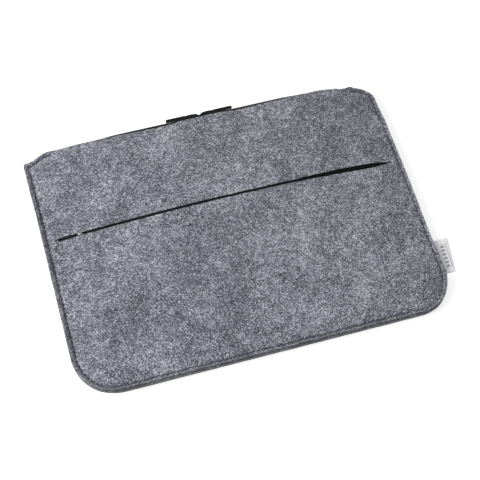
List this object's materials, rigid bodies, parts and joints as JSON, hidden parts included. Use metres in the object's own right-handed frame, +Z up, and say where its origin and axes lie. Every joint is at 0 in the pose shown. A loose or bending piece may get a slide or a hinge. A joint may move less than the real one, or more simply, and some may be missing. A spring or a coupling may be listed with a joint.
{
  "type": "laptop sleeve",
  "caption": "Grey felt laptop sleeve lying flat, with a zipped mouth along one long edge, a full-width zipped front pocket and a woven side label.",
  "frame": {"origin": "middle of the back panel's outer face, which is the face the sleeve lies on", "axes": "+X along the sleeve's width, towards the label side; +Y from the closed bottom edge to the zipped mouth; +Z up, out of the front panel"},
  "size_m": [0.412, 0.2964, 0.0193],
  "materials": {
    "grey_felt": "needled heather felt, bluish mid grey",
    "black_lining": "plain woven lining",
    "zip_tape": "woven zip tape",
    "zip_coil": "nylon coil",
    "black_slider": "black lacquered die casting",
    "black_pull": "black lacquered die casting",
    "bright_metal": "bright nickel",
    "label_ribbon": "white woven ribbon"
  },
  "bodies": {
    "sleeve": {"back_panel": "grey_felt", "front_panel": "grey_felt", "pocket_lining": "black_lining", "main_zip_back_tape": "zip_tape", "main_zip_front_tape": "zip_tape", "main_zip_back_coil": "zip_coil", "main_zip_front_coil": "zip_coil", "pocket_zip_upper_tape": "zip_tape", "pocket_zip_lower_tape": "zip_tape", "pocket_zip_upper_coil": "zip_coil", "pocket_zip_lower_coil": "zip_coil", "pocket_zip_stops": "bright_metal", "side_label": "label_ribbon", "main_zip_end_tab": "zip_tape"},
    "main_slider_left": {"main_slider_left": "black_slider", "main_slider_left_crown": "black_slider"},
    "main_pull_left": {"main_pull_left": "black_pull"},
    "main_slider_right": {"main_slider_right": "black_slider", "main_slider_right_crown": "black_slider"},
    "main_pull_right": {"main_pull_right": "black_pull"},
    "pocket_slider": {"pocket_slider": "black_slider", "pocket_slider_crown": "bright_metal"},
    "pocket_pull": {"pocket_pull": "black_pull"}
  },
  "joints": [
    {"name": "left_slider_travel", "type": "slide", "parent": "sleeve", "child": "main_slider_left", "axis": [1, 0, 0], "range_m": [-0.148, 0], "deforming": ["main_zip_back_coil", "main_zip_front_coil", "main_zip_back_tape", "main_zip_front_tape"]},
    {"name": "right_slider_travel", "type": "slide", "parent": "sleeve", "child": "main_slider_right", "axis": [1, 0, 0], "range_m": [0, 0.148], "deforming": ["main_zip_back_coil", "main_zip_front_coil", "main_zip_back_tape", "main_zip_front_tape"]},
    {"name": "left_pull_swing", "type": "hinge", "parent": "main_slider_left", "child": "main_pull_left", "pos_m": [-0.007, 0.15091, 0.0084], "axis": [0, 0, -1], "range_deg": [0, 150]},
    {"name": "right_pull_swing", "type": "hinge", "parent": "main_slider_right", "child": "main_pull_right", "pos_m": [0.007, 0.15091, 0.0084], "axis": [0, 0, 1], "range_deg": [0, 150]},
    {"name": "pocket_slider_travel", "type": "hinge", "parent": "sleeve", "child": "pocket_slider", "pos_m": [0, 0.035, -1.63971], "axis": [0, 1, 0], "range_deg": [0, 11.5], "deforming": ["pocket_zip_upper_coil", "pocket_zip_lower_coil", "pocket_zip_upper_tape", "pocket_zip_lower_tape"]},
    {"name": "pocket_pull_swing", "type": "hinge", "parent": "pocket_slider", "child": "pocket_pull", "pos_m": [-0.16048, 0.035, 0.01135], "axis": [0, 1, 0], "range_deg": [0, 150]}
  ]
}
